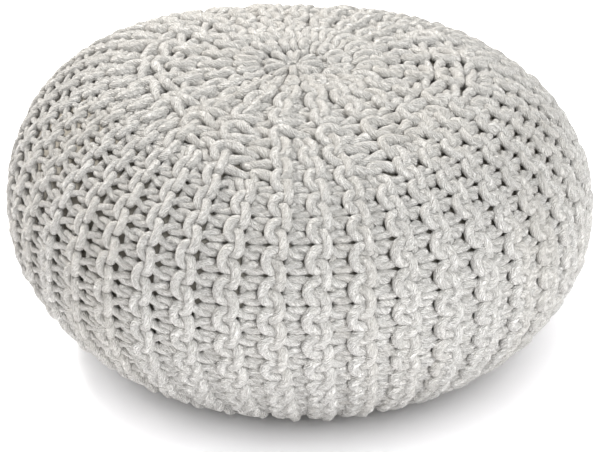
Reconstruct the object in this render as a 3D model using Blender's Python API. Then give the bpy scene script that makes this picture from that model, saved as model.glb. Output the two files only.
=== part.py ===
"""Knitted pouf: a garter stitch cover, drawn in at an eye at each pole, over a round filled bag.

Metres, +Z up. The origin is on the floor, under the middle of the pouf's box. The ridges of the
knitting run from pole to pole. The pouf leans a little to -X, and its filling has settled.
"""

import math

import bmesh
import bpy

# The pouf over its ridges.
DIAMETER = 0.500
CROWN_HEIGHT = 0.258
WIDEST_LEVEL = 0.104
FOOT_RADIUS = 0.140
LEAN = 0.045  # how far it leans to -X, for each metre up from its widest level

# How square the section is: 2 is an ellipse, and more is squarer.
CROWN_OUTWARD = 2.0
CROWN_UPWARD = 3.2
HAUNCH_OUTWARD = 2.4
HAUNCH_DOWNWARD = 1.35

# The eyes, where the ends of the rows are drawn in.
EYE_RADIUS = 0.009
DIMPLE_DEPTH = 0.007
DIMPLE_RADIUS = 0.045

# The knitting. Every second ridge is a short one, which ends before it reaches the poles.
RIDGES = 44
RIDGE_RISE = 0.008
SHORT_RIDGE_FADES = (0.090, 0.125)  # the radii between which a short ridge dies out
EYE_FLATTENING = (0.010, 0.045)  # the radii over which the long ridges rise from the eye
FOOT_FLATTENING = (0.002, 0.030)  # the heights over which the floor stops pressing them flat

COVER_THICKNESS = 0.024
GAP = 0.0003  # between the cover and the bag

# Where the filling swells the cover (+) or lets it sink (-).
# azimuth_deg (0 is +X, 90 is +Y), height, spread_deg, swell
SWELLS = (
    (0, 0.120, 34, 0.0030),
    (52, 0.215, 30, 0.0040),
    (128, 0.210, 30, 0.0045),
    (205, 0.150, 26, -0.0020),
    (262, 0.165, 24, 0.0020),
    (318, 0.190, 24, -0.0025),
)
SWELL_HEIGHT = 0.060  # how far up and down a swell reaches

# The rings of points down the cover's outside.
# quarter, angle_deg round the quarter, points in the ring
OUTER_RINGS = (
    ("crown", 84, 44),
    ("crown", 79, 88),
    ("crown", 73, 88),
    ("crown", 67, 88),
    ("crown", 61, 176),
    ("crown", 53, 176),
    ("crown", 44, 176),
    ("crown", 35, 176),
    ("crown", 26, 176),
    ("crown", 17, 176),
    ("crown", 8, 176),
    ("haunch", 0, 176),
    ("haunch", 14, 176),
    ("haunch", 28, 176),
    ("haunch", 42, 176),
    ("haunch", 56, 176),
    ("haunch", 72, 176),
    ("haunch", 90, 88),
)
FOOT_RING_RADIUS = 0.075  # a last ring of points between the foot's edge and its eye
INNER_POINTS = 44  # points in each ring of the cover's inside, and of the bag

# Linear colours.
YARN_COLOUR = (0.700, 0.686, 0.645, 1.0)
BAG_COLOUR = (0.480, 0.455, 0.400, 1.0)


def clear_scene():
    for thing in list(bpy.data.objects):
        bpy.data.objects.remove(thing, do_unlink=True)


def ease(value, low, high):
    """0 below low, 1 above high, and a smooth step between."""
    share = min(1.0, max(0.0, (value - low) / (high - low)))
    return share * share * (3.0 - 2.0 * share)


def crest_point(quarter, angle):
    """Radius and height of the ridges' crests, at an angle round one quarter of the section."""
    across = math.cos(angle)
    along = math.sin(angle)
    if quarter == "crown":
        radius = DIAMETER / 2 * across ** (2 / CROWN_OUTWARD)
        height = WIDEST_LEVEL + (CROWN_HEIGHT - WIDEST_LEVEL) * along ** (2 / CROWN_UPWARD)
        return radius, height - DIMPLE_DEPTH * math.exp(-((radius / DIMPLE_RADIUS) ** 2))
    radius = FOOT_RADIUS + (DIAMETER / 2 - FOOT_RADIUS) * across ** (2 / HAUNCH_OUTWARD)
    return radius, WIDEST_LEVEL * (1 - along ** (2 / HAUNCH_DOWNWARD))


def crown_eye_angle():
    return math.acos((2 * EYE_RADIUS / DIAMETER) ** (CROWN_OUTWARD / 2))


def section_line(rings):
    """(radius, height, points) of each ring of the crests' section, from eye to eye."""
    line = [(*crest_point("crown", crown_eye_angle()), INNER_POINTS)]
    for quarter, angle_deg, points in rings:
        line.append((*crest_point(quarter, math.radians(min(angle_deg, 89.999))), points))
    line.append((FOOT_RING_RADIUS, 0.0, INNER_POINTS))
    line.append((EYE_RADIUS, 0.0, INNER_POINTS))
    return [(radius, max(height, 0.0), points) for radius, height, points in line]


def outward_normals(line):
    """Unit (radial, upward) directions square to the section, pointing out of the pouf."""
    normals = []
    for index, (radius, height, _) in enumerate(line):
        before = line[max(index - 1, 0)]
        after = line[min(index + 1, len(line) - 1)]
        if height == 0.0:
            normals.append((0.0, -1.0))
            continue
        along_r = after[0] - before[0]
        along_z = after[1] - before[1]
        length = math.hypot(along_r, along_z)
        normals.append((-along_z / length, along_r / length))
    return normals


def ridge_sink(azimuth, radius, height):
    """How far the knitting lies under its crests: 0 on a ridge, RIDGE_RISE in a furrow."""
    on_crown = height > WIDEST_LEVEL
    every_ridge = math.cos(RIDGES * azimuth)
    long_ridges = math.cos(RIDGES / 2 * azimuth)
    short_share = ease(radius, *SHORT_RIDGE_FADES) if on_crown else 1.0
    pattern = short_share * every_ridge + (1 - short_share) * long_ridges
    rise = RIDGE_RISE * ease(height, *FOOT_FLATTENING)
    if on_crown:
        rise *= ease(radius, *EYE_FLATTENING)
    return rise * (1 - pattern) / 2


def swell_at(azimuth, height):
    total = 0.0
    for azimuth_deg, level, spread_deg, swell in SWELLS:
        turn = math.remainder(azimuth - math.radians(azimuth_deg), 2 * math.pi)
        around = turn / math.radians(spread_deg)
        upward = (height - level) / SWELL_HEIGHT
        total += swell * math.exp(-(around**2) - upward**2)
    return total * ease(height, *FOOT_FLATTENING)


def place(azimuth, radius, height, normal, inward):
    """The point that lies inward of the crests, with the pouf's swells and lean."""
    out = swell_at(azimuth, height) - inward
    level = height + normal[1] * out
    reach = radius + normal[0] * out
    x = reach * math.cos(azimuth) - LEAN * (level - WIDEST_LEVEL)
    return (x, reach * math.sin(azimuth), level)


def ring_points(line, normals, index, points, inward=None):
    """One ring of points: on the knitting's outside, or a set distance inward of its crests."""
    radius, height, _ = line[index]
    ring = []
    for step in range(points):
        azimuth = 2 * math.pi * step / points
        depth = ridge_sink(azimuth, radius, height) if inward is None else inward
        ring.append(place(azimuth, radius, height, normals[index], depth))
    return ring


def bridge(first, second):
    """Faces between two rings of point numbers, where one may have twice as many points."""
    if len(first) < len(second):
        return [face[::-1] for face in bridge(second, first)]
    faces = []
    count = len(first)
    if count == len(second):
        for step in range(count):
            after = (step + 1) % count
            faces.append((first[step], first[after], second[after]))
            faces.append((first[step], second[after], second[step]))
        return faces
    for step in range(len(second)):
        left = first[2 * step]
        middle = first[2 * step + 1]
        right = first[(2 * step + 2) % count]
        after = second[(step + 1) % len(second)]
        faces += [(left, middle, second[step]), (middle, after, second[step]), (middle, right, after)]
    return faces


def joined_rings(rings, closed):
    """The points and faces of a skin over a run of rings, closed into a loop of rings if asked."""
    points = []
    numbers = []
    for ring in rings:
        numbers.append(list(range(len(points), len(points) + len(ring))))
        points += ring
    faces = []
    pairs = list(zip(numbers, numbers[1:]))
    if closed:
        pairs.append((numbers[-1], numbers[0]))
    for first, second in pairs:
        faces += bridge(first, second)
    return points, faces, numbers


def cloth_material(name, colour, roughness):
    material = bpy.data.materials.new(name)
    material.use_nodes = True
    shader = material.node_tree.nodes["Principled BSDF"]
    shader.inputs["Base Color"].default_value = colour
    shader.inputs["Roughness"].default_value = roughness
    shader.inputs["Metallic"].default_value = 0.0
    material.diffuse_color = colour
    return material


def add_object(name, points, faces, material):
    mesh = bpy.data.meshes.new(name)
    mesh.from_pydata(points, [], faces)
    skin = bmesh.new()
    skin.from_mesh(mesh)
    bmesh.ops.recalc_face_normals(skin, faces=skin.faces)
    skin.to_mesh(mesh)
    skin.free()
    mesh.shade_smooth()
    mesh.set_sharp_from_angle(angle=math.radians(50))
    mesh.materials.append(material)
    thing = bpy.data.objects.new(name, mesh)
    bpy.context.scene.collection.objects.link(thing)
    return thing


def knitted_cover(line, normals):
    """The cover: its ridged outside down from eye to eye, and its plain inside back up."""
    outside = [ring_points(line, normals, index, ring[2]) for index, ring in enumerate(line)]
    inside = [
        ring_points(line, normals, index, INNER_POINTS, COVER_THICKNESS)
        for index in inner_indices(line)
    ]
    points, faces, _ = joined_rings(outside + inside[::-1], closed=True)
    return add_object("knitted_cover", points, faces, cloth_material("knit_yarn", YARN_COLOUR, 0.9))


def inner_indices(line):
    """The rings that the cover's inside and the bag have too: every second, and both ends."""
    last = len(line) - 1
    return sorted({0, 1, last - 2, last - 1, last} | set(range(1, last - 2, 2)))


def inner_bag(line, normals):
    """The filled bag, a gap inside the cover, closed over at both eyes.

    Its rings run upwards, as the cover's inside does, so the two skins share their diagonals.
    """
    inward = COVER_THICKNESS + GAP
    rings = [ring_points(line, normals, index, INNER_POINTS, inward) for index in inner_indices(line)]
    points, faces, numbers = joined_rings(rings[::-1], closed=False)
    for ring in (numbers[0], numbers[-1]):
        middle = len(points)
        points.append(tuple(sum(points[n][axis] for n in ring) / len(ring) for axis in range(3)))
        faces += [(middle, number, ring[(step + 1) % len(ring)]) for step, number in enumerate(ring)]
    return add_object("inner_bag", points, faces, cloth_material("bag_cloth", BAG_COLOUR, 0.85))


def centre_over_origin(things):
    """Moves the points so that the origin is under the middle of the first object's box."""
    corners = [vertex.co for vertex in things[0].data.vertices]
    middle = [(min(c[axis] for c in corners) + max(c[axis] for c in corners)) / 2 for axis in (0, 1)]
    for thing in things:
        for vertex in thing.data.vertices:
            vertex.co.x -= middle[0]
            vertex.co.y -= middle[1]


def build():
    clear_scene()
    line = section_line(OUTER_RINGS)
    normals = outward_normals(line)
    centre_over_origin([knitted_cover(line, normals), inner_bag(line, normals)])


build()
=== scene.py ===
import math

import bpy
import numpy as np
from mathutils import Matrix, Vector
from mathutils.bvhtree import BVHTree


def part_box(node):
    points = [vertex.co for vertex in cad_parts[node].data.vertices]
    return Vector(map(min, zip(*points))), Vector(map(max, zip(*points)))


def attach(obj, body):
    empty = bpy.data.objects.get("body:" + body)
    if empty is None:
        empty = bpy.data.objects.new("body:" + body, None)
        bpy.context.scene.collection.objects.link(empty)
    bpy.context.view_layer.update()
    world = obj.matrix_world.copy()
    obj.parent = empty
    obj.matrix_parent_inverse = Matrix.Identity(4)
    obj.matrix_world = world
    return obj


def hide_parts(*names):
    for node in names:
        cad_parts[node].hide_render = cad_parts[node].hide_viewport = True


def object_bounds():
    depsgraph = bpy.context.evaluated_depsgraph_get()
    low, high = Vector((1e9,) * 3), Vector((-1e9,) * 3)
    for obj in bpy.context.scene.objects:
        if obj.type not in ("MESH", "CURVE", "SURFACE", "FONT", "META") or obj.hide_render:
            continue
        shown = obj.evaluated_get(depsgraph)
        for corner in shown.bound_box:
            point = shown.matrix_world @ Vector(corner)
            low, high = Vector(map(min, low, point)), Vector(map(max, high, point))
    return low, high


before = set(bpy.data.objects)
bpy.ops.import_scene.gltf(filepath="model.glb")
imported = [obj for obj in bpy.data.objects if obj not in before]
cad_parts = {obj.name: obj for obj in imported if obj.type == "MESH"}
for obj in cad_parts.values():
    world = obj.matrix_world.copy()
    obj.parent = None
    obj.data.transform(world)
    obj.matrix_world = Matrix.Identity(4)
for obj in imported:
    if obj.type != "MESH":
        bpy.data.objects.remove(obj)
CAD_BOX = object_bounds()

# ------------------------ sizes
# In metres, unless a comment says otherwise. An azimuth is in turns: 0 is the right
# side, 0.25 the back, 0.5 the left side and 0.75 the front. A level runs from 0 at the
# top eye to 1 at the bottom one.

# The bag that the cover sits on.
BAG_NODE = "inner_bag"
COVER_NODE = "knitted_cover"
LEAN = 0.045  # how far the eyes drift towards -X for each metre of height
LEAN_PIVOT = 0.42  # part of the bag's height where the line from eye to eye crosses the Z axis
BAG_RAYS = 160  # rays from pole to pole that find the bag's solid
BAG_AZIMUTHS = 176
BAG_LEVELS = 257
SMOOTH_AROUND = 12  # times that the skin is averaged around, and along its levels
SMOOTH_ALONG = 40
SMOOTH_NORMALS = 60

# How far the bag's cloth swells into the knitting, at two levels counted from an eye.
BAG_RISE_LEVELS = (0.10, 0.24)
BAG_RISES = (0.0050, 0.0110)

# How much fuller the bag is than its solid: level, and mm outwards.
FULLER = (
    (0.0, -1.0), (0.08, -2.0), (0.14, -3.0), (0.20, 1.5), (0.26, 5.5), (0.32, 6.0), (0.50, 4.2),
    (0.60, 1.5), (0.70, 0.0),
)
BACK_IN = 0.003  # the back loses that fullness, and at least this much
BACK_SHARPNESS = 3

# The far left shoulder is fuller still.
CORNER_SWELL = 0.006
CORNER_AZIMUTH = 0.45
CORNER_WIDTH = 0.055
CORNER_LEVEL = 0.31
CORNER_HEIGHT = 0.08

# The knitting: rows run from eye to eye, and two rows make a ridge.
ROWS = 88
RIDGES = ROWS // 2
SHORT_FIRST = 6  # first stitch of a short ridge, which every second one is
SHORT_LAST = 19  # and its last stitch
# How many stitches later each short ridge starts, and sooner it ends, from the right side
# round by the back.
STAGGER = (0, 0, -1, 0, 1, -1, 1, 0, -1, -1, -1, -1, -1, -1, 0, 1, -1, 1, 0, -1, 0, 0)
FRONT = 0.75  # azimuth of the front
SPREAD = 0.1  # ridges lie this much further apart at the sides than at the front
POINTS = 24  # points drawn along one stitch
CORD = 0.0085  # thickness of the cord
CORD_SIDES = 8
CORD_TOUCH = 0.0072  # how near two cords come side by side
CORD_SQUASH = 1.8  # cords that cross come this many times nearer
LIFT = 0.0160  # middle of the knitting above the skin
BEND_POINTS = 12  # points in the turn at each end of a short ridge
BEND_REACH = 0.6

# Working out one loop. Lengths here are in mm.
LOOP_STEPS = 260
LOOP_SWAY = 0.22  # how far a drawn loop leans back under itself, in stitches
LOOP_PULL = 0.04
LOOP_STIFFNESS = 0.3
LOOP_HOLD = 0.2  # how firmly its legs are kept apart
LOOP_HOLD_WIDTH = 0.24
LOOP_FLATTEN = 0.98
LOOP_CROSSINGS = (0.42, 0.58)  # where a loop that reaches past its neighbours crosses them
LOOP_SKIP = 1.25  # points of one cord this many thicknesses apart don't touch
PUSH_ROUNDS = 2
PUSH = 0.35
KNIT_LEG = 0.62  # where a loop's legs bulge, from its near side to its far one
PURL_LEG = 0.38
LEG_WIDTH = 0.2
KNIT_NECK = 0.33  # where cords are squeezed thinner, as two loops pass through each other
PURL_NECK = 0.67
LEG_SQUEEZE = 0.28
SINKER_RISE = 0.8  # how much higher the near side of a purl loop stands
ARC_LEAN = 0.9  # and how much further back it reaches

# Unevenness, in mm, and in parts of a loop's own size for the jitter.
DRIFT_WAVES = 16
DRIFT_ACROSS = 1.3
DRIFT_ALONG = 1.6
DRIFT_OUT = 0.8
DRIFT_CALM = 0.12  # level within which it fades out towards an eye
JITTER_ACROSS = 0.04
JITTER_OUT = 0.05
JITTER_ALONG = 0.03

# Tighter stitches at the sides: stitch numbers, and how tight.
TIGHT_LEFT = ((5, 7, 12, 17), (0, 1.05, 1, 0.2))
TIGHT_RIGHT = ((5, 7, 9, 11), (0, 0.5, 0.35, 0))
TIGHT_REACH = 0.5  # how much less their loops reach
TIGHT_GIRTH = 0.25  # and how much thinner their cord is

# Long ridges widen where there is no short ridge beside them.
WIDE_GAP = 0.3  # stitches from the short ridge's end
WIDE_RUN = 0.5
WIDE_DEPTH = 0.35
WIDE_BULGE = 0.2
SHORT_END_SINK = 4  # mm that a short ridge's ends are tucked in
SHORT_END_RUN = 0.5

# The eyes, in mm from the middle of the eye where it isn't a level.
END_LEVEL = 0.125  # within this level the stitches turn into plain strands
END_RUN = 0.09
END_STRAIGHT = 0.85
END_FLAT = 0.5
END_REACH = 0.006  # level that each strand reaches further in
END_REACH_RUN = 0.35
END_RISE = 1.0  # knit strands lie on top, purl strands under them
END_PURL_SINK = 9.5
END_JITTER_ACROSS = 0.8
END_JITTER_OUT = 1.6
DIMPLE = 2.5
DIMPLE_REACH = 10
TUCK = 6.5  # how far every second long ridge dips
TUCK_REACH = 26
END_GIRTH_PURL = 0.55
END_GIRTH_KNIT = 0.70
END_GIRTH_TUCKED = 0.16
END_GIRTH_GROWTH = 130  # mm over which a strand would grow by one whole thickness
END_GIRTH_RANGE = (0.5, 0.9)

# The cord's thickness along its row, by stitch number.
GIRTH = ((-1, 4.5, 6.5, 9, 12, 17), (0.97, 1.0, 0.98, 1.0, 1.12, 1.14))

# Letting the cover settle. Lengths here are in mm.
SETTLE_STEPS = 36
SETTLE_PULL = 0.03
SETTLE_STIFFNESS = 0.2
SETTLE_HOLD = 0.05
SETTLE_SAG = 0.01
PAIRS_EVERY = 12  # steps between two searches for touching cords
PAIRS_MARGIN = 2.5
PAIRS_APART = 4  # points of one cord this near along it don't touch
CROWDED_ROWS = 4  # where a cord is as wide as this many rows, cords come nearer together,
LEAST_ROOM = 0.3  # down to this part of their usual distance
BAG_TOUCH = 0.36  # part of a cord's thickness that keeps it off the skin

# Stitch by stitch from the top eye to the bottom one, in millimetres: the first is
# from the eye to the first stitch, and the last from the last stitch to the eye.
STITCH_STEPS = (
    19.0, 27.5, 28.0, 28.2, 28.3, 27.6, 25.6, 23.4, 21.9, 21.1, 20.9, 20.9, 20.7, 20.3,
    19.9, 20.0, 20.6, 21.3, 21.8, 22.2, 22.7, 23.3, 24.0, 25.0, 25.8, 26.0, 26.0, 12.0,
)
STITCHES = len(STITCH_STEPS) - 1

# Loops that are worked out once and then blended: row pitch, stitch pitch, reach of
# a loop past its row, how near its cords come, how far its two legs lie from its
# middle, how much they rise, and how much the far side of a ridge sinks, all in
# millimetres.
NARROW_LOOPS = (
    (12.9, 26.0, 2.4, 6.4, 3.4, 0.6, 0.4),
    (15.8, 22.5, 5.0, 7.6, 4.3, 0.6, 1.0),
    (17.85, 20.6, 6.8, 8.4, 4.7, 0.8, 1.4),
)
WIDE_LOOPS = (
    (3.5, 26.0, 2.8, 4.4, 4.0, 0.0, 0.0),
    (8.5, 27.0, 5.0, 6.8, 6.2, 0.8, 0.8),
    (14.7, 27.5, 6.4, 7.8, 6.4, 2.2, 1.4),
    (22.6, 26.5, 6.8, 8.2, 6.2, 3.0, 2.0),
)

PANELS = (4, 4, 4, 4, 3, 3)  # ridge pairs in each piece of the cover

CORD_COLOUR = (0.815, 0.805, 0.785)
CORD_SHADE = (0.515, 0.503, 0.478)
# Painted shade: a darker colour laid into the grooves between the cord's twisted yarns.
PAINTED_GROOVE_SHADE = (0.455, 0.442, 0.415)
CORD_WARM = (0.585, 0.555, 0.505)
BAG_COLOUR = (0.520, 0.495, 0.445)
BAG_SHADE = (0.405, 0.383, 0.338)
BAG_WARM = (0.395, 0.360, 0.298)
FLOOR_COLOUR = (0.94, 0.95, 0.965)

# The cord's relief: how much each part of it counts, and the height of one, in metres.
YARN_HEIGHT = 0.45
PLY_HEIGHT = 0.3
FIBRE_HEIGHT = 0.7
FLECK_HEIGHT = 1.8
CORD_BUMP = 0.0017
BAG_BUMP = 0.0004
BAG_THREAD = 0.0022  # spacing of the lining's threads
SPECK_RANGE = (0.43, 0.53)  # noise between these values goes from dark fibre to light
SOFT_RANGE = (0.35, 0.65)

# The camera: angles in degrees, and a long lens in mm.
CAMERA_RISE = 27.371
CAMERA_DIP = 0.949
CAMERA_ROLL = 0.311
CAMERA_AIM = 0.487  # part of the pouf's height that it looks at
CAMERA_DISTANCE = 1.8
CAMERA_LENS = 124.84

SEED = 20417
TINY = 1e-12  # keeps a division off zero


# ------------------------ small helpers

def fading(distance, width):
    """1 at no distance, and falling off smoothly over about a width."""
    return np.exp(-((distance / width) ** 2))


def eased(value):
    """A value held between 0 and 1, which starts and ends gently."""
    value = np.clip(value, 0, 1)
    return value * value * (3 - 2 * value)


def mesh_object(name, points, faces, edges=()):
    """A plain object at the origin."""
    mesh = bpy.data.meshes.new(name)
    mesh.from_pydata([tuple(p) for p in points], list(edges), list(faces))
    mesh.update()
    piece = bpy.data.objects.new(name, mesh)
    bpy.context.scene.collection.objects.link(piece)
    return piece


def point_values(piece, name, values):
    """Stores one number for each point."""
    layer = piece.data.attributes.new(name, "FLOAT", "POINT")
    layer.data.foreach_set("value", np.asarray(values, dtype=np.float32))


# ------------------------ the bag's skin

class Skin:
    """The bag's outside: a point and an outward direction for any azimuth and level."""

    def __init__(self, points, normals):
        self.points = points
        self.normals = normals
        self.azimuths, self.levels = points.shape[:2]

    def at(self, azimuth, level):
        """Points and outward directions between the grid's own."""
        x = (np.asarray(azimuth) % 1.0) * self.azimuths
        y = np.clip(np.asarray(level), 0.0, 1.0) * (self.levels - 1)
        i = np.floor(x).astype(int) % self.azimuths
        j = np.minimum(np.floor(y).astype(int), self.levels - 2)
        a = (x - np.floor(x))[..., None]
        b = (y - j)[..., None]
        n = (i + 1) % self.azimuths
        out = []
        for grid in (self.points, self.normals):
            low = grid[i, j] * (1 - a) + grid[n, j] * a
            high = grid[i, j + 1] * (1 - a) + grid[n, j + 1] * a
            out.append(low * (1 - b) + high * b)
        out[1] /= np.linalg.norm(out[1], axis=-1, keepdims=True)
        return out[0], out[1]


def bag_rays(tree, centre):
    """Where rays from the middle meet the bag: an azimuth by angle grid of points."""
    grid = np.zeros((BAG_AZIMUTHS, BAG_RAYS, 3))
    for i in range(BAG_AZIMUTHS):
        azimuth = 2 * math.pi * i / BAG_AZIMUTHS
        for j in range(BAG_RAYS):
            angle = math.pi * (j + 0.5) / BAG_RAYS
            flat = math.sin(angle)
            up = math.cos(angle)
            way = Vector((flat * math.cos(azimuth) - LEAN * up, flat * math.sin(azimuth), up))
            grid[i, j] = tree.ray_cast(centre, way.normalized())[0]
    return grid


def bag_swell():
    """How far out the skin stands from the bag's solid: an azimuth by level grid."""
    levels, fuller = zip(*FULLER)
    level = np.linspace(0, 1, BAG_LEVELS)
    azimuth = np.arange(BAG_AZIMUTHS) / BAG_AZIMUTHS
    swell = np.interp(level, levels, fuller) / 1000
    back = np.maximum(np.sin(2 * np.pi * azimuth), 0) ** BACK_SHARPNESS
    swell = swell[None, :] - back[:, None] * np.maximum(swell, BACK_IN)[None, :]
    corner = fading(azimuth - CORNER_AZIMUTH, CORNER_WIDTH)
    crest = fading(level - CORNER_LEVEL, CORNER_HEIGHT)
    return swell + CORNER_SWELL * corner[:, None] * crest[None, :]


def bag_skin():
    """The bag solid's outside, evened out so that its flat faces don't show."""
    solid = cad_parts[BAG_NODE]
    low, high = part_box(BAG_NODE)
    tree = BVHTree.FromObject(solid, bpy.context.evaluated_depsgraph_get())
    middle = 0.5 * (low[2] + high[2])
    axis_x = 0.5 * (low[0] + high[0]) - LEAN * (middle - LEAN_PIVOT * high[2])
    centre = Vector((axis_x, 0.5 * (low[1] + high[1]), middle))
    rays = bag_rays(tree, centre)
    top = rays[:, 0].mean(0)
    bottom = rays[:, -1].mean(0)
    points = np.zeros((BAG_AZIMUTHS, BAG_LEVELS, 3))
    for i in range(BAG_AZIMUTHS):
        line = np.vstack([top, rays[i], bottom])
        run = distance_along(line)
        at = np.linspace(0, run[-1], BAG_LEVELS)
        for axis in range(3):
            points[i, :, axis] = np.interp(at, run, line[:, axis])
    points = evened(points, SMOOTH_AROUND, SMOOTH_ALONG)
    points[:, 0] = points[:, 0].mean(0)
    points[:, -1] = points[:, -1].mean(0)
    normals = evened(grid_normals(points), SMOOTH_AROUND, SMOOTH_NORMALS)
    normals /= np.linalg.norm(normals, axis=-1, keepdims=True)
    return Skin(points + normals * bag_swell()[..., None], normals)


def distance_along(line):
    """How far along a line each of its points lies."""
    return np.concatenate([[0], np.cumsum(np.linalg.norm(np.diff(line, axis=0), axis=1))])


def evened(grid, around, along):
    """Averages a closed grid of points a few times in both directions."""
    for _ in range(around):
        grid = 0.25 * np.roll(grid, 1, 0) + 0.5 * grid + 0.25 * np.roll(grid, -1, 0)
    for _ in range(along):
        inner = 0.25 * grid[:, :-2] + 0.5 * grid[:, 1:-1] + 0.25 * grid[:, 2:]
        grid = np.concatenate([grid[:, :1], inner, grid[:, -1:]], axis=1)
    return grid


def grid_normals(grid):
    """Outward directions of a closed grid of points."""
    across = np.roll(grid, -1, 0) - np.roll(grid, 1, 0)
    along = np.gradient(grid, axis=1)
    out = np.cross(along, across)
    out[:, 0] = (0, 0, 1)
    out[:, -1] = (0, 0, -1)
    size = np.linalg.norm(out, axis=-1, keepdims=True)
    return out / np.maximum(size, TINY)


# ------------------------ one loop of the knitting

def wave(values, stops, f):
    """Runs smoothly through values at the given stops."""
    k = np.clip(np.searchsorted(stops, f, side="right") - 1, 0, len(stops) - 2)
    x = (f - stops[k]) / (stops[k + 1] - stops[k])
    ease = (1 - np.cos(np.pi * np.clip(x, 0, 1))) / 2
    values = np.array(values)
    return values[k] * (1 - ease) + values[k + 1] * ease


def stitch_run():
    """Part of a stitch at each of its points, and how far along its loop each lies."""
    t = (np.arange(POINTS) + 0.5) / POINTS
    return t, (1 - np.cos(2 * np.pi * t)) / 2


def squeeze(purl):
    """How thick the cord is along one stitch of a knit or a purl row."""
    _, f = stitch_run()
    return 1 - LEG_SQUEEZE * fading(f - (PURL_NECK if purl else KNIT_NECK), LEG_WIDTH)


def drawn_loops(row_pitch, stitch_pitch, reach, thickness):
    """A knit loop and a purl loop, side by side, as they are first drawn."""
    t, f = stitch_run()
    v = stitch_pitch * (t - 0.5) + LOOP_SWAY * stitch_pitch * np.sin(4 * np.pi * t)
    wide = row_pitch + 2 * reach
    stops = np.array([0, 2 * reach / wide, row_pitch / wide, 1.0])
    if stops[2] <= stops[1]:
        stops[1:3] = LOOP_CROSSINGS
    h = thickness / 2
    knit = np.stack([-reach + wide * f, v, wave([-h, h, -h, h], stops, f)], -1)
    purl = np.stack([row_pitch - reach + wide * f, v, wave([h, -h, h, -h], stops, f)], -1)
    return np.stack([knit, purl])


def loops_around(row_pitch, stitch_pitch):
    """The moves to the same two loops all round, and how their points follow on."""
    shifts = [(i, j) for i in (-1, 0, 1) for j in (-2, -1, 0, 1, 2)]
    moves = np.array([[2 * row_pitch * i, stitch_pitch * j, 0] for i, j in shifts])
    row = np.repeat([0, 1], POINTS)
    place = np.tile(np.arange(POINTS), 2)
    across = np.repeat([shift[0] for shift in shifts], 2 * POINTS)
    along = np.repeat([shift[1] for shift in shifts], 2 * POINTS)
    same = (row[:, None] == np.tile(row, len(shifts))[None, :]) & (across[None, :] == 0)
    there = np.tile(place, len(shifts)) + POINTS * along
    return moves, same, np.abs(there[None, :] - place[:, None])


def pushed_apart(loops, moves, size, skipped):
    """The loops after their touching cords have pushed each other off."""
    flat = loops.reshape(-1, 3)
    there = (flat[None] + moves[:, None, :]).reshape(-1, 3)
    gap = flat[:, None, :] - there[None, :, :]
    distance = np.sqrt((gap**2).sum(-1))
    touching = (distance < size) & (distance > TINY) & ~skipped
    push = np.where(touching, (size - distance) / np.maximum(distance, TINY), 0.0)
    shove = (push[..., None] * gap).sum(1)
    share = np.maximum(touching.sum(1), 1)
    return (flat + PUSH * shove / (share[:, None] ** 0.5)).reshape(2, POINTS, 3)


def settled_loops(row_pitch, stitch_pitch, reach, thickness, legs):
    """Lets an endless cloth of these loops pull smooth while its cords push each other off."""
    loops = drawn_loops(row_pitch, stitch_pitch, reach, thickness)
    moves, same, apart = loops_around(row_pitch, stitch_pitch)
    repeat = np.array([0, stitch_pitch, 0])
    t, f = stitch_run()
    hold = LOOP_HOLD * fading(f - 0.5, LOOP_HOLD_WIDTH)
    gauge = np.concatenate([squeeze(0), squeeze(1)])
    size = thickness * 0.5 * (gauge[:, None] + np.tile(gauge, len(moves))[None, :])
    goal = np.where(t < 0.5, -legs, legs)
    for _ in range(LOOP_STEPS):
        before = np.roll(loops, 1, axis=1)
        before[:, 0] -= repeat
        after = np.roll(loops, -1, axis=1)
        after[:, -1] += repeat
        pull = (before + after) / 2 - loops
        near = (np.roll(pull, 1, axis=1) + np.roll(pull, -1, axis=1)) / 2 - pull
        loops = loops + LOOP_PULL * pull - LOOP_STIFFNESS * near
        step = np.linalg.norm(after - loops, axis=-1).mean()
        skip = int(np.ceil(LOOP_SKIP * thickness / step))
        for _ in range(PUSH_ROUNDS):
            loops = pushed_apart(loops, moves, size, same & (apart <= skip))
        loops[..., 1] += hold * (goal - loops[..., 1])
        loops[..., 2] *= LOOP_FLATTEN
        loops[..., 2] -= loops[..., 2].mean()
        loops[..., 1] -= loops[..., 1].mean(axis=1, keepdims=True)
        mirrored = loops[:, ::-1].copy()
        mirrored[..., 1] *= -1
        loops = (loops + mirrored) / 2
    loops[..., 2] /= CORD_SQUASH
    return loops


class Loops:
    """Loop shapes for any row pitch, in parts of the row pitch and the stitch pitch."""

    def __init__(self, table):
        self.pitches = np.array([row[0] for row in table])
        shapes = []
        _, f = stitch_run()
        for row_pitch, stitch_pitch, reach, thickness, legs, rise, sink in table:
            shape = settled_loops(row_pitch, stitch_pitch, reach, thickness, legs)
            shape[0, :, 2] += rise * fading(f - KNIT_LEG, LEG_WIDTH)
            shape[1, :, 2] += rise * fading(f - PURL_LEG, LEG_WIDTH)
            shape[0, :, 2] -= sink * f**3
            shape[1, :, 2] += SINKER_RISE * (1 - f) ** 3
            shape[1, :, 0] -= ARC_LEAN * (1 - f) ** 2
            shape[..., 0] -= row_pitch
            shape[..., 1] /= stitch_pitch
            shapes.append(shape)
        self.shapes = np.array(shapes)

    def at(self, row_pitch, purl, place):
        """Points of a row: across in mm from its ridge, along in stitches, out in mm."""
        pitch = np.clip(row_pitch, self.pitches[0], self.pitches[-1])
        k = np.clip(np.searchsorted(self.pitches, pitch) - 1, 0, len(self.pitches) - 2)
        x = ((pitch - self.pitches[k]) / (self.pitches[k + 1] - self.pitches[k]))[..., None]
        low = self.shapes[k, purl, place]
        high = self.shapes[k + 1, purl, place]
        mixed = low * (1 - x) + high * x
        mixed[..., 0] *= row_pitch / pitch
        return mixed


# ------------------------ laying the rows

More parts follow.
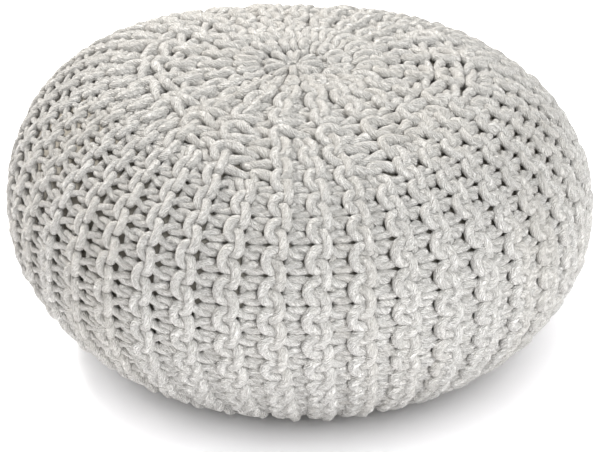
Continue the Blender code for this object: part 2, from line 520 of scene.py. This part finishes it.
def level_of(stitch):
    """Level of a stitch number, with parts of a stitch between the middles."""
    steps = np.cumsum(STITCH_STEPS)
    middles = steps[:-1] / steps[-1]
    numbers = np.concatenate([[-1], np.arange(STITCHES), [STITCHES]])
    first = middles[0] - STITCH_STEPS[1] / steps[-1]
    last = middles[-1] + STITCH_STEPS[-2] / steps[-1]
    return np.interp(stitch, numbers, np.concatenate([[first], middles, [last]]))


class Drift:
    """A slow unevenness over the whole cover, about one high."""

    def __init__(self, random):
        self.around = random.integers(-7, 8, DRIFT_WAVES)
        self.down = random.uniform(-4.0, 4.0, DRIFT_WAVES)
        self.start = random.uniform(0.0, 1.0, DRIFT_WAVES)
        self.height = random.normal(0.0, 1.0, DRIFT_WAVES) * math.sqrt(2.0 / DRIFT_WAVES)

    def at(self, azimuth, level):
        """Its height at one azimuth and at these levels."""
        turns = azimuth * self.around + np.asarray(level)[:, None] * self.down + self.start
        return np.sin(2 * np.pi * turns) @ self.height


def ridge_place(ridge):
    """Azimuth of a ridge in turns, and its distance to the next one in even shares."""
    turn = (ridge + 0.5) / RIDGES - FRONT
    once = 2 * math.pi * turn
    azimuth = FRONT + turn + SPREAD * (math.sin(once) - 0.5 * math.sin(2 * once)) / (2 * math.pi)
    return azimuth, 1 + SPREAD * (math.cos(once) - math.cos(2 * once))


def short_ends(ridge):
    """First and last stitch of a short ridge."""
    late = STAGGER[(ridge // 2) % len(STAGGER)]
    return SHORT_FIRST + late, SHORT_LAST - late


def tightness(azimuth, exact):
    """How much tighter the stitches are at the left and right sides."""
    side = math.cos(2 * math.pi * azimuth)
    tight = max(-side, 0) * np.interp(exact, *TIGHT_LEFT)
    return tight + max(side, 0) * np.interp(exact, *TIGHT_RIGHT)


class Row:
    """The stitches of one row, and where they lie round the bag."""

    def __init__(self, number, skin):
        self.ridge = number // 2
        self.purl = number % 2
        self.long = self.ridge % 2 == 0
        self.tucked = self.ridge % 4 == 2
        beside = (self.ridge + 2 * self.purl - 1) % RIDGES if self.long else self.ridge
        self.near = short_ends(beside)
        self.first, self.last = (0, STITCHES - 1) if self.long else self.near
        self.count = self.last + 1 - self.first
        self.stitches = np.repeat(np.arange(self.first, self.last + 1), POINTS)
        self.place = np.tile(np.arange(POINTS), self.count)
        self.exact = self.stitches + (self.place + 0.5) / POINTS - 0.5
        self.azimuth, share = ridge_place(self.ridge)
        middle = level_of(self.stitches)
        base, _ = skin.at(np.full(len(middle), self.azimuth), middle)
        axis = axis_at(base[:, 2])
        self.span = np.linalg.norm(base[:, :2] - axis[:, :2], axis=1) + LIFT
        self.from_axis = 1000 * (self.span - LIFT)
        self.pitch = share * 2 * np.pi * self.span / ROWS * 1000
        self.tight = tightness(self.azimuth, self.exact)


def row_shape(row, narrow, wide, jitter):
    """The loops of a row, wide where a long row has no short ridge beside it."""
    past = np.maximum(row.near[0] - WIDE_GAP - row.exact, row.exact - row.near[1] - WIDE_GAP)
    over = eased(past / WIDE_RUN) if row.long else np.zeros(len(row.exact))
    shape = (1 - over)[:, None] * narrow.at(row.pitch, row.purl, row.place)
    shape += over[:, None] * wide.at(2 * row.pitch, row.purl, row.place)
    shape[:, 2] *= 1 + WIDE_DEPTH * over
    shape[:, 0] *= 1 + JITTER_ACROSS * jitter[:, 0]
    shape[:, 1] *= 1 + JITTER_ALONG * jitter[:, 2]
    shape[:, 2] *= 1 + JITTER_OUT * jitter[:, 1]
    facing = -1 if row.purl else 1
    reach = np.maximum(shape[:, 0] * facing, 0) * facing
    shape[:, 0] -= TIGHT_REACH * row.tight * reach
    return shape


def row_girth(row, end):
    """How thick the cord is along a row, in parts of its usual thickness."""
    girth = np.interp(row.exact, *GIRTH)
    wide_part = np.clip((row.near[0] - row.exact) / WIDE_RUN, 0, 1)
    _, f = stitch_run()
    bulge = fading(f - (PURL_LEG if row.purl else KNIT_LEG), LEG_WIDTH)[row.place]
    knit_end = END_GIRTH_KNIT - END_GIRTH_TUCKED * row.tucked + row.from_axis / END_GIRTH_GROWTH
    knit_end = np.clip(knit_end, *END_GIRTH_RANGE)
    girth *= 1 + WIDE_BULGE * wide_part * bulge
    girth *= 1 - TIGHT_GIRTH * row.tight
    girth *= 1 + ((END_GIRTH_PURL if row.purl else knit_end) - 1) * end
    girth *= 1 + (squeeze(row.purl)[row.place] - 1) * (1 - 0.5 * wide_part)
    return girth


def row_points(number, skin, narrow, wide, drifts, random):
    """One row: its points in metres, their base on the skin, the way out, and girths."""
    row = Row(number, skin)
    jitter = np.repeat(random.normal(0, 1, (row.count, 3)), POINTS, axis=0)
    shape = row_shape(row, narrow, wide, jitter)
    level = level_of(row.stitches + shape[:, 1])
    from_eye = np.minimum(level, 1 - level)
    end = eased((END_LEVEL - from_eye) / END_RUN) if row.long else 0 * level
    calm = np.clip(from_eye / DRIFT_CALM, 0, 1)
    uneven = [drift.at(row.azimuth, level) * calm for drift in drifts]
    level = level + DRIFT_ALONG * uneven[1] / sum(STITCH_STEPS)
    if row.long:
        level = level - END_REACH * fading(row.exact + 0.5, END_REACH_RUN)
        level = level + END_REACH * fading(STITCHES - 0.5 - row.exact, END_REACH_RUN)
    across = shape[:, 0] * (1 - END_STRAIGHT * end) + DRIFT_ACROSS * uneven[0]
    across += end * (2 * row.purl * row.pitch + random.normal(0, END_JITTER_ACROSS))
    end_rise = END_RISE - END_PURL_SINK * row.purl + random.normal(0, END_JITTER_OUT)
    out = LIFT * 1000 + shape[:, 2] * (1 - END_FLAT * end) + end_rise * end
    if not row.long:
        from_end = np.minimum(row.exact - row.first, row.last - row.exact) + 0.5
        out -= SHORT_END_SINK * fading(from_end, SHORT_END_RUN)
    out += DRIFT_OUT * uneven[2] - DIMPLE * fading(row.from_axis, DIMPLE_REACH)
    out -= TUCK * row.tucked * fading(row.from_axis, TUCK_REACH)
    turn = across / (2 * np.pi * row.span * 1000)
    base, way = skin.at(row.azimuth + turn, level)
    points = base + way * (out / 1000)[:, None]
    return points, base, way, row_girth(row, end)


def bend_steps():
    """How far round a turn each of its points lies, from 0 to 1."""
    return (np.arange(1, BEND_POINTS + 1) / (BEND_POINTS + 1))[:, None]


def bend(one, other):
    """Turns smoothly from the end of one line to the end of another, both left outwards."""
    from_way = (one[-1] - one[-3]) / np.linalg.norm(one[-1] - one[-3])
    to_way = (other[-3] - other[-1]) / np.linalg.norm(other[-3] - other[-1])
    x = bend_steps()
    reach = BEND_REACH * np.linalg.norm(other[-1] - one[-1])
    return (
        (2 * x**3 - 3 * x**2 + 1) * one[-1] + (x**3 - 2 * x**2 + x) * reach * from_way
        + (3 * x**2 - 2 * x**3) * other[-1] + (x**3 - x**2) * reach * to_way
    )


def joined(knit, purl):
    """The two rows of a short ridge as one closed line, with a turn at each end."""
    low = bend(knit[0], purl[0])
    high = bend(purl[0][::-1], knit[0][::-1])
    points = np.vstack([knit[0], low, purl[0][::-1], high])
    x = bend_steps()
    grids = []
    for knit_grid, purl_grid in ((knit[1], purl[1]), (knit[2], purl[2])):
        low = knit_grid[-1] * (1 - x) + purl_grid[-1] * x
        high = purl_grid[0] * (1 - x) + knit_grid[0] * x
        grids.append(np.vstack([knit_grid, low, purl_grid[::-1], high]))
    low = np.full(BEND_POINTS, knit[3][-1])
    high = np.full(BEND_POINTS, knit[3][0])
    girth = np.concatenate([knit[3], low, purl[3][::-1], high])
    return points, grids[0], grids[1], girth


def axis_at(height):
    """The line from eye to eye at these heights."""
    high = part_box(BAG_NODE)[1]
    out = np.zeros((len(height), 3))
    out[:, 0] = -LEAN * (np.asarray(height) - LEAN_PIVOT * high[2])
    out[:, 2] = height
    return out


# ------------------------ letting the cover settle

def near_pairs(points, reach):
    """Pairs of points nearer to each other than reach, found by sorting them into boxes."""
    box = np.floor((points - points.min(0)) / reach).astype(np.int64) + 1
    size = box.max(0) + 2
    key = box[:, 0] + size[0] * (box[:, 1] + size[1] * box[:, 2])
    order = np.argsort(key, kind="stable")
    ranked = key[order]
    # Of the 27 boxes round a point, the second half finds every pair once.
    steps = [(x, y, z) for x in (-1, 0, 1) for y in (-1, 0, 1) for z in (-1, 0, 1)]
    ones, others = [], []
    for step in steps[len(steps) // 2:]:
        there = key + step[0] + size[0] * (step[1] + size[1] * step[2])
        low = np.searchsorted(ranked, there, "left")
        count = np.searchsorted(ranked, there, "right") - low
        one = np.repeat(np.arange(len(points)), count)
        start = np.repeat(low - np.concatenate([[0], np.cumsum(count)[:-1]]), count)
        other = order[start + np.arange(len(one))]
        near = ((points[one] - points[other]) ** 2).sum(1) < reach * reach
        if step == (0, 0, 0):
            near &= one < other
        ones.append(one[near])
        others.append(other[near])
    return np.concatenate(ones), np.concatenate(others)


def links_along(owner, ring):
    """The points before and after each one along its row, and which are free to move."""
    number = np.arange(len(owner))
    first = np.concatenate([[True], owner[1:] != owner[:-1]])
    last = np.concatenate([owner[1:] != owner[:-1], [True]])
    before = np.where(first, number, number - 1)
    after = np.where(last, number, number + 1)
    before[first & ring] = number[last & ring]
    after[last & ring] = number[first & ring]
    free = (ring | ~(first | last)).astype(float)[:, None]
    return before, after, free


def shoved(points, way, one, other, size):
    """How far touching cords shove each point, and the root of how many touch it."""
    gap = points[one] - points[other]
    up = (gap * way[one]).sum(1)
    distance = np.sqrt((gap**2).sum(1) + (CORD_SQUASH**2 - 1) * up * up)
    push = np.where(distance < size, size / np.maximum(distance, TINY) - 1, 0.0)
    met = push > 0
    share = np.bincount(one[met], minlength=len(points))
    share += np.bincount(other[met], minlength=len(points))
    gap *= push[:, None]
    shove = np.zeros_like(points)
    for axis in range(3):
        shove[:, axis] += np.bincount(one, gap[:, axis], len(points))
        shove[:, axis] -= np.bincount(other, gap[:, axis], len(points))
    return shove, np.sqrt(np.maximum(share, 1))[:, None]


def settle_rows(rows, closed):
    """Lets all rows pull smooth together, while cords, skin and floor push them off."""
    counts = [len(row[0]) for row in rows]
    points = np.concatenate([row[0] for row in rows]) * 1000
    base = np.concatenate([row[1] for row in rows]) * 1000
    way = np.concatenate([row[2] for row in rows])
    girth = np.concatenate([row[3] for row in rows])
    owner = np.repeat(np.arange(len(rows)), counts)
    before, after, free = links_along(owner, np.array(closed)[owner])
    drawn = points.copy()
    radius = np.linalg.norm(base - axis_at(base[:, 2] / 1000) * 1000, axis=1)
    pitch = 2 * np.pi * radius / ROWS
    room = np.clip(CROWDED_ROWS * pitch / CORD_TOUCH / 1000, LEAST_ROOM, 1.0)
    touch = CORD_TOUCH * 1000
    for step in range(SETTLE_STEPS):
        if step % PAIRS_EVERY == 0:
            one, other = near_pairs(points, touch + PAIRS_MARGIN)
            apart = (owner[one] != owner[other]) | (np.abs(one - other) > PAIRS_APART)
            one, other = one[apart], other[apart]
            size = touch * 0.5 * (girth[one] * room[one] + girth[other] * room[other])
        pull = (points[before] + points[after]) / 2 - points
        near = (pull[before] + pull[after]) / 2 - pull
        points = points + free * (SETTLE_PULL * pull - SETTLE_STIFFNESS * near)
        points = points + SETTLE_HOLD * (drawn - points)
        for _ in range(PUSH_ROUNDS):
            shove, share = shoved(points, way, one, other, size)
            points = points + free * PUSH * shove / share
        height = ((points - base) * way).sum(1)
        least = BAG_TOUCH * CORD * 1000 * girth
        points = points + way * np.maximum(least - height, 0)[:, None]
        height = ((points - base) * way).sum(1)
        points = points - way * (SETTLE_SAG * (height - LIFT * 1000))[:, None]
        points[:, 2] = np.maximum(points[:, 2], 0.5 * CORD * 1000 * girth)
    points /= 1000
    ends = np.cumsum(counts)
    return [points[end - count:end] for end, count in zip(ends, counts)]


# ------------------------ drawing the cord

def socket(tree, name, kind, way="INPUT", value=None):
    """Adds a named socket to a node group."""
    item = tree.interface.new_socket(name=name, in_out=way, socket_type=kind)
    if value is not None:
        item.default_value = value


def feed(tree, place, value):
    """Gives an input a number or a colour, or links a socket to it."""
    if isinstance(value, tuple):
        place.default_value = (*value, 1)
    elif isinstance(value, (int, float)):
        place.default_value = value
    else:
        tree.links.new(value, place)


def maths(tree, operation, *values):
    """A Math node on sockets or numbers, and its result."""
    node = tree.nodes.new("ShaderNodeMath")
    node.operation = operation
    for place, value in zip(node.inputs, values):
        feed(tree, place, value)
    return node.outputs[0]


def stored(tree, shape, name, value):
    """Stores a number on the points of a shape."""
    node = tree.nodes.new("GeometryNodeStoreNamedAttribute")
    node.data_type = "FLOAT"
    node.domain = "POINT"
    node.inputs["Name"].default_value = name
    tree.links.new(shape, node.inputs["Geometry"])
    tree.links.new(value, node.inputs["Value"])
    return node.outputs["Geometry"]


def cord_tree():
    """Geometry Nodes: draws round cord along every line of a mesh."""
    tree = bpy.data.node_groups.new("cord_along_rows", "GeometryNodeTree")
    socket(tree, "Rows", "NodeSocketGeometry")
    socket(tree, "Thickness", "NodeSocketFloat", value=CORD)
    socket(tree, "Sides", "NodeSocketInt", value=CORD_SIDES)
    socket(tree, "Finish", "NodeSocketMaterial")
    socket(tree, "Cord", "NodeSocketGeometry", "OUTPUT")
    nodes = tree.nodes
    link = tree.links.new
    start = nodes.new("NodeGroupInput")
    end = nodes.new("NodeGroupOutput")
    lines = nodes.new("GeometryNodeMeshToCurve")
    girth = nodes.new("GeometryNodeInputNamedAttribute")
    girth.data_type = "FLOAT"
    girth.inputs["Name"].default_value = "girth"
    half = maths(tree, "MULTIPLY", start.outputs["Thickness"], 0.5)
    ring = nodes.new("GeometryNodeCurvePrimitiveCircle")
    ring.inputs["Radius"].default_value = 1.0
    where = nodes.new("GeometryNodeSplineParameter")
    angle = maths(tree, "MULTIPLY", where.outputs["Factor"], 2 * math.pi)
    link(start.outputs["Rows"], lines.inputs["Mesh"])
    link(start.outputs["Sides"], ring.inputs["Resolution"])
    profile = stored(tree, ring.outputs["Curve"], "around_cos", maths(tree, "COSINE", angle))
    profile = stored(tree, profile, "around_sin", maths(tree, "SINE", angle))
    tube = nodes.new("GeometryNodeCurveToMesh")
    tube.inputs["Fill Caps"].default_value = True
    smooth = nodes.new("GeometryNodeSetShadeSmooth")
    real = nodes.new("GeometryNodeRealizeInstances")
    finish = nodes.new("GeometryNodeSetMaterial")
    link(lines.outputs["Curve"], tube.inputs["Curve"])
    link(maths(tree, "MULTIPLY", girth.outputs["Attribute"], half), tube.inputs["Scale"])
    link(profile, tube.inputs["Profile Curve"])
    link(tube.outputs["Mesh"], smooth.inputs["Geometry"])
    link(smooth.outputs["Geometry"], real.inputs["Geometry"])
    link(real.outputs["Geometry"], finish.inputs["Geometry"])
    link(start.outputs["Finish"], finish.inputs["Material"])
    link(finish.outputs["Geometry"], end.inputs["Cord"])
    return tree


def set_inputs(modifier, tree, values):
    """Sets a Geometry Nodes modifier's inputs by their identifiers."""
    for item in tree.interface.items_tree:
        if item.item_type == "SOCKET" and item.in_out == "INPUT" and item.name in values:
            modifier[item.identifier] = values[item.name]


def cord_piece(name, rows, tree, material):
    """One piece of the cover: plain mesh cord along these rows."""
    points, edges, girths, along, tints = [], [], [], [], []
    start = 0
    for line, girth, tint, ring in rows:
        count = len(line)
        points.append(line)
        edges.extend((start + i, start + i + 1) for i in range(count - 1))
        if ring:
            edges.append((start + count - 1, start))
        along.append(distance_along(line))
        girths.append(girth)
        tints.append(tint)
        start += count
    lines = mesh_object(name + "_rows", np.concatenate(points), [], edges)
    point_values(lines, "girth", np.concatenate(girths))
    point_values(lines, "along", np.concatenate(along))
    point_values(lines, "tint", np.concatenate(tints))
    modifier = lines.modifiers.new("cord", "NODES")
    modifier.node_group = tree
    set_inputs(modifier, tree, {"Thickness": CORD, "Sides": CORD_SIDES, "Finish": material})
    shown = lines.evaluated_get(bpy.context.evaluated_depsgraph_get())
    mesh = bpy.data.meshes.new_from_object(shown)
    mesh.name = name
    piece = bpy.data.objects.new(name, mesh)
    bpy.context.scene.collection.objects.link(piece)
    lines.modifiers.remove(modifier)
    bpy.data.objects.remove(lines)
    return piece


def knitted_cover(skin, material):
    """Every row of the cover, in panels. A short ridge's two rows make one closed line."""
    random = np.random.default_rng(SEED)
    narrow = Loops(NARROW_LOOPS)
    wide = Loops(WIDE_LOOPS)
    drifts = [Drift(random), Drift(random), Drift(random)]
    rows = []
    for ridge in range(RIDGES):
        knit = row_points(2 * ridge, skin, narrow, wide, drifts, random)
        purl = row_points(2 * ridge + 1, skin, narrow, wide, drifts, random)
        rows.extend([joined(knit, purl)] if ridge % 2 else [knit, purl])
    # So each two ridges are three lines, and the third of them is closed.
    closed = [place % 3 == 2 for place in range(len(rows))]
    lines = settle_rows(rows, closed)
    tree = cord_tree()
    pieces = []
    row = 0
    for number, pairs in enumerate(PANELS):
        chosen = []
        for _ in range(3 * pairs):
            line, girth = lines[row], rows[row][3]
            chosen.append((line, girth, np.full(len(line), random.random()), closed[row]))
            row += 1
        pieces.append(cord_piece(f"knit_panel_{number + 1}", chosen, tree, material))
    return pieces


# ------------------------ the bag

def bag_piece(skin, material):
    """The bag's cloth, seen through the knitting."""
    around, down = skin.points.shape[:2]
    level = np.linspace(0, 1, down)
    rise = np.interp(np.minimum(level, 1 - level), BAG_RISE_LEVELS, BAG_RISES)
    points = skin.points + skin.normals * rise[None, :, None]
    down_step = 2
    keep = list(range(down_step, down - 1, down_step))
    flat = [points[:, 0].mean(0)]
    for j in keep:
        flat.extend(points[:, j])
    flat.append(points[:, -1].mean(0))
    faces = []
    for i in range(around):
        n = (i + 1) % around
        faces.append((0, 1 + i, 1 + n))
        for k in range(len(keep) - 1):
            a = 1 + k * around
            b = a + around
            faces.append((a + i, b + i, b + n, a + n))
        last = 1 + (len(keep) - 1) * around
        faces.append((last + i, len(flat) - 1, last + n))
    piece = mesh_object("bag_cloth", flat, faces)
    piece.data.polygons.foreach_set("use_smooth", [True] * len(faces))
    piece.data.materials.append(material)
    return piece


# ------------------------ finishes

def shader(name):
    """A new material, its tree and its Principled BSDF."""
    material = bpy.data.materials.new(name)
    material.use_nodes = True
    tree = material.node_tree
    return material, tree, tree.nodes["Principled BSDF"]


def rescaled(tree, value, from_low, from_high, to_low=0.0, to_high=1.0):
    """A value moved from one range to another, and held inside it."""
    node = tree.nodes.new("ShaderNodeMapRange")
    node.clamp = True
    tree.links.new(value, node.inputs["Value"])
    node.inputs["From Min"].default_value = from_low
    node.inputs["From Max"].default_value = from_high
    node.inputs["To Min"].default_value = to_low
    node.inputs["To Max"].default_value = to_high
    return node.outputs["Result"]


def blended(tree, factor, first, second):
    """Two colours mixed by a factor."""
    node = tree.nodes.new("ShaderNodeMix")
    node.data_type = "RGBA"
    tree.links.new(factor, node.inputs["Factor"])
    for name, value in (("A", first), ("B", second)):
        feed(tree, [s for s in node.inputs if s.name == name and s.type == "RGBA"][0], value)
    return [s for s in node.outputs if s.type == "RGBA"][0]


def weighted(tree, *parts):
    """The sum of some values, each with its weight."""
    values = [maths(tree, "MULTIPLY", value, weight) for value, weight in parts]
    total = values[0]
    for value in values[1:]:
        total = maths(tree, "ADD", total, value)
    return total


def attribute(tree, name):
    """A number stored on the piece."""
    node = tree.nodes.new("ShaderNodeAttribute")
    node.attribute_type = "GEOMETRY"
    node.attribute_name = name
    return node.outputs["Fac"]


def noise(tree, vector, scale, detail=2.0, roughness=0.5):
    """Noise on a vector socket."""
    node = tree.nodes.new("ShaderNodeTexNoise")
    feed(tree, node.inputs["Scale"], scale)
    node.inputs["Detail"].default_value = detail
    node.inputs["Roughness"].default_value = roughness
    tree.links.new(vector, node.inputs["Vector"])
    return node.outputs["Fac"]


def fibre_group():
    """Shared cloth effect: soft short fibres and slow changes of tone."""
    tree = bpy.data.node_groups.new("fibre_fuzz", "ShaderNodeTree")
    socket(tree, "Position", "NodeSocketVector")
    socket(tree, "Fibre Scale", "NodeSocketFloat", value=900.0)
    socket(tree, "Tone Scale", "NodeSocketFloat", value=14.0)
    socket(tree, "Height", "NodeSocketFloat", "OUTPUT")
    socket(tree, "Tone", "NodeSocketFloat", "OUTPUT")
    start = tree.nodes.new("NodeGroupInput")
    end = tree.nodes.new("NodeGroupOutput")
    place = start.outputs["Position"]
    fibres = noise(tree, place, start.outputs["Fibre Scale"], 3.0, 0.65)
    tones = noise(tree, place, start.outputs["Tone Scale"])
    tree.links.new(fibres, end.inputs["Height"])
    tree.links.new(tones, end.inputs["Tone"])
    return tree


def twist_group():
    """Cord effect: fine yarns laid in a helix round the cord, from its own attributes."""
    tree = bpy.data.node_groups.new("cord_twist", "ShaderNodeTree")
    for name in ("Along", "Around Cos", "Around Sin", "Waver"):
        socket(tree, name, "NodeSocketFloat")
    socket(tree, "Lay", "NodeSocketFloat", value=0.034)
    socket(tree, "Yarns", "NodeSocketFloat", value=9.0)
    for name in ("Height", "Plies", "Flecks"):
        socket(tree, name, "NodeSocketFloat", "OUTPUT")
    start = tree.nodes.new("NodeGroupInput")
    end = tree.nodes.new("NodeGroupOutput")
    angle = maths(tree, "ARCTAN2", start.outputs["Around Sin"], start.outputs["Around Cos"])
    turns = maths(tree, "DIVIDE", start.outputs["Along"], start.outputs["Lay"])
    turned = maths(tree, "MULTIPLY", turns, 2 * math.pi)
    phase = maths(tree, "SUBTRACT", angle, turned)
    phase = maths(tree, "ADD", phase, start.outputs["Waver"])
    fine = maths(tree, "MULTIPLY", phase, start.outputs["Yarns"])
    fine = maths(tree, "MULTIPLY", fine, 0.5)
    fine = maths(tree, "ABSOLUTE", maths(tree, "SINE", fine))
    plies = maths(tree, "ABSOLUTE", maths(tree, "SINE", maths(tree, "MULTIPLY", phase, 1.5)))
    laid = tree.nodes.new("ShaderNodeCombineXYZ")
    radius = maths(tree, "DIVIDE", CORD, 2)
    tree.links.new(maths(tree, "MULTIPLY", maths(tree, "COSINE", phase), radius), laid.inputs["X"])
    tree.links.new(maths(tree, "MULTIPLY", maths(tree, "SINE", phase), radius), laid.inputs["Y"])
    tree.links.new(maths(tree, "MULTIPLY", start.outputs["Along"], 0.35), laid.inputs["Z"])
    flecks = noise(tree, laid.outputs["Vector"], 1150.0, 2.0, 0.6)
    tree.links.new(fine, end.inputs["Height"])
    tree.links.new(plies, end.inputs["Plies"])
    tree.links.new(flecks, end.inputs["Flecks"])
    return tree


def placed(tree, group, **inputs):
    """A node group placed in a material, with numbers or sockets for its inputs."""
    node = tree.nodes.new("ShaderNodeGroup")
    node.node_tree = group
    for name, value in inputs.items():
        feed(tree, node.inputs[name.replace("_", " ")], value)
    return node


def object_place(tree):
    """The piece's own coordinates."""
    return tree.nodes.new("ShaderNodeTexCoord").outputs["Object"]


def bumped(tree, surface, height, distance):
    """Feeds a height to the surface's normal."""
    bump = tree.nodes.new("ShaderNodeBump")
    bump.inputs["Strength"].default_value = 1.0
    bump.inputs["Distance"].default_value = distance
    tree.links.new(height, bump.inputs["Height"])
    tree.links.new(bump.outputs["Normal"], surface.inputs["Normal"])


def cord_material(fibres, twist):
    """Soft twisted cotton cord, with painted shade in the grooves between its yarns."""
    material, tree, surface = shader("cotton_cord")
    place = object_place(tree)
    fuzz = placed(tree, fibres, Position=place, Fibre_Scale=1000.0, Tone_Scale=9.0)
    waver = rescaled(tree, noise(tree, place, 160.0, 1.0), 0.3, 0.7, -0.35, 0.35)
    laid = placed(
        tree, twist, Along=attribute(tree, "along"), Around_Cos=attribute(tree, "around_cos"),
        Around_Sin=attribute(tree, "around_sin"), Waver=waver, Lay=0.038, Yarns=14.0,
    )
    yarns, plies, flecks = (laid.outputs[name] for name in ("Height", "Plies", "Flecks"))
    fibre = fuzz.outputs["Height"]
    height = weighted(
        tree, (yarns, YARN_HEIGHT), (plies, PLY_HEIGHT), (fibre, FIBRE_HEIGHT),
        (flecks, FLECK_HEIGHT),
    )
    bumped(tree, surface, height, CORD_BUMP)
    # Painted shade: where the twisted yarns dip into their grooves, the colour turns darker.
    groove_shade = rescaled(tree, yarns, 0.0, 0.5, to_low=0.35)
    speck = rescaled(tree, weighted(tree, (flecks, 0.6), (fibre, 0.4)), *SPECK_RANGE)
    tone = rescaled(tree, fuzz.outputs["Tone"], *SOFT_RANGE)
    light = blended(tree, speck, CORD_SHADE, CORD_COLOUR)
    light = blended(tree, groove_shade, PAINTED_GROOVE_SHADE, light)
    tint = rescaled(tree, attribute(tree, "tint"), 0.0, 1.0, to_high=0.35)
    warm = blended(tree, maths(tree, "MULTIPLY", tone, tint), light, CORD_WARM)
    tree.links.new(warm, surface.inputs["Base Color"])
    tree.links.new(rescaled(tree, speck, 0.0, 1.0, 0.92, 0.82), surface.inputs["Roughness"])
    surface.inputs["Sheen Weight"].default_value = 0.08
    surface.inputs["Sheen Roughness"].default_value = 0.5
    surface.inputs["Specular IOR Level"].default_value = 0.08
    return material


def bag_material(fibres):
    """Plain woven lining cloth."""
    material, tree, surface = shader("lining_cloth")
    place = object_place(tree)
    fuzz = placed(tree, fibres, Position=place, Fibre_Scale=700.0, Tone_Scale=11.0)
    parts = tree.nodes.new("ShaderNodeSeparateXYZ")
    tree.links.new(place, parts.inputs["Vector"])
    weave = []
    for axis in ("X", "Y", "Z"):
        thread = maths(tree, "MULTIPLY", parts.outputs[axis], 2 * math.pi / BAG_THREAD)
        weave.append(maths(tree, "ABSOLUTE", maths(tree, "SINE", thread)))
    woven = maths(tree, "MULTIPLY", weave[0], weave[1])
    fibre, folds = fuzz.outputs["Height"], fuzz.outputs["Tone"]
    height = weighted(tree, (woven, weave[2]), (fibre, 0.8), (folds, 12.0))
    bumped(tree, surface, height, BAG_BUMP)
    speck = rescaled(tree, fibre, *SOFT_RANGE)
    tone = rescaled(tree, folds, *SOFT_RANGE)
    colour = blended(tree, speck, BAG_SHADE, BAG_COLOUR)
    colour = blended(tree, maths(tree, "MULTIPLY", tone, 0.3), colour, BAG_WARM)
    tree.links.new(colour, surface.inputs["Base Color"])
    tree.links.new(rescaled(tree, speck, 0.0, 1.0, 0.95, 0.88), surface.inputs["Roughness"])
    surface.inputs["Specular IOR Level"].default_value = 0.2
    return material


def floor_material():
    """Matt studio floor."""
    material, _, surface = shader("studio_floor")
    surface.inputs["Base Color"].default_value = (*FLOOR_COLOUR, 1)
    surface.inputs["Roughness"].default_value = 0.8
    surface.inputs["Specular IOR Level"].default_value = 0.1
    return material


# ------------------------ studio

def studio_floor():
    """A wide pale floor under the object."""
    size = 6.0
    corners = [(-size, -size, 0), (size, -size, 0), (size, size, 0), (-size, size, 0)]
    floor = mesh_object("floor", corners, [(0, 1, 2, 3)])
    floor.data.materials.append(floor_material())
    return floor


def area_light(name, place, target, size, power, colour):
    """A square soft light that faces the target."""
    data = bpy.data.lights.new(name, "AREA")
    data.shape = "SQUARE"
    data.size = size
    data.energy = power
    data.color = colour
    light = bpy.data.objects.new(name, data)
    light.location = place
    light.rotation_euler = (Vector(target) - Vector(place)).to_track_quat("-Z", "Y").to_euler()
    bpy.context.scene.collection.objects.link(light)
    return light


def studio_light():
    """Light all round, a key from the front right, one from behind left, one for the floor."""
    world = bpy.data.worlds.new("studio")
    bpy.context.scene.world = world
    world.use_nodes = True
    sky = world.node_tree.nodes["Background"].inputs
    sky["Color"].default_value = (1.0, 0.965, 0.915, 1)
    sky["Strength"].default_value = 0.715
    middle = (0, 0, 0.5 * CAD_BOX[1][2])
    key = area_light(
        "key", (1.35, -1.8, 1.85), middle, size=2.3, power=76, colour=(0.96, 0.985, 1.0),
    )
    table = area_light(
        "table", (0.0, 0.0, 2.3), middle, size=8.0, power=330, colour=(0.98, 0.97, 1.0),
    )
    area_light("top", (-1.1, 1.0, 1.55), middle, size=0.45, power=51, colour=(1.0, 0.97, 0.93))
    return key, table


def light_only(light, name, pieces):
    """Keeps a light off everything but these pieces, like a flag beside a lamp."""
    lit = bpy.data.collections.new(name)
    for piece in pieces:
        lit.objects.link(piece)
    light.light_linking.receiver_collection = lit


def swung(one, other, angle):
    """Two directions turned together, the first towards the second."""
    turned = math.cos(angle) * one + math.sin(angle) * other
    return turned, math.cos(angle) * other - math.sin(angle) * one


def studio_camera():
    """A long lens from the front and above."""
    rise = math.radians(CAMERA_RISE)
    target = Vector((0, 0, CAMERA_AIM * CAD_BOX[1][2]))
    ahead = Vector((0, math.cos(rise), -math.sin(rise)))
    right = Vector((1, 0, 0))
    up = right.cross(ahead)
    place = target - CAMERA_DISTANCE * ahead
    right, up = swung(right, up, math.radians(CAMERA_ROLL))
    ahead, up = swung(ahead, up, -math.radians(CAMERA_DIP))
    data = bpy.data.cameras.new("camera")
    data.sensor_width = 36.0
    data.lens = CAMERA_LENS
    camera = bpy.data.objects.new("camera", data)
    turn = Matrix((right, up, -ahead)).transposed().to_4x4()
    camera.matrix_world = Matrix.Translation(place) @ turn
    bpy.context.scene.collection.objects.link(camera)
    bpy.context.scene.camera = camera


# ------------------------ the object

def build():
    """The studio and the pouf, whose pieces hang from one body in place of the model's parts."""
    studio_camera()
    key, table = studio_light()
    floor = studio_floor()
    bpy.context.scene.view_settings.view_transform = "Standard"
    skin = bag_skin()
    fibres = fibre_group()
    cord = cord_material(fibres, twist_group())
    panels = knitted_cover(skin, cord)
    bag = bag_piece(skin, bag_material(fibres))
    light_only(key, "lit_by_key", panels + [bag])
    light_only(table, "lit_by_table", [floor])
    for panel in panels:
        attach(panel, "root")
        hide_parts(COVER_NODE)
    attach(bag, "root")
    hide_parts(BAG_NODE)


build()
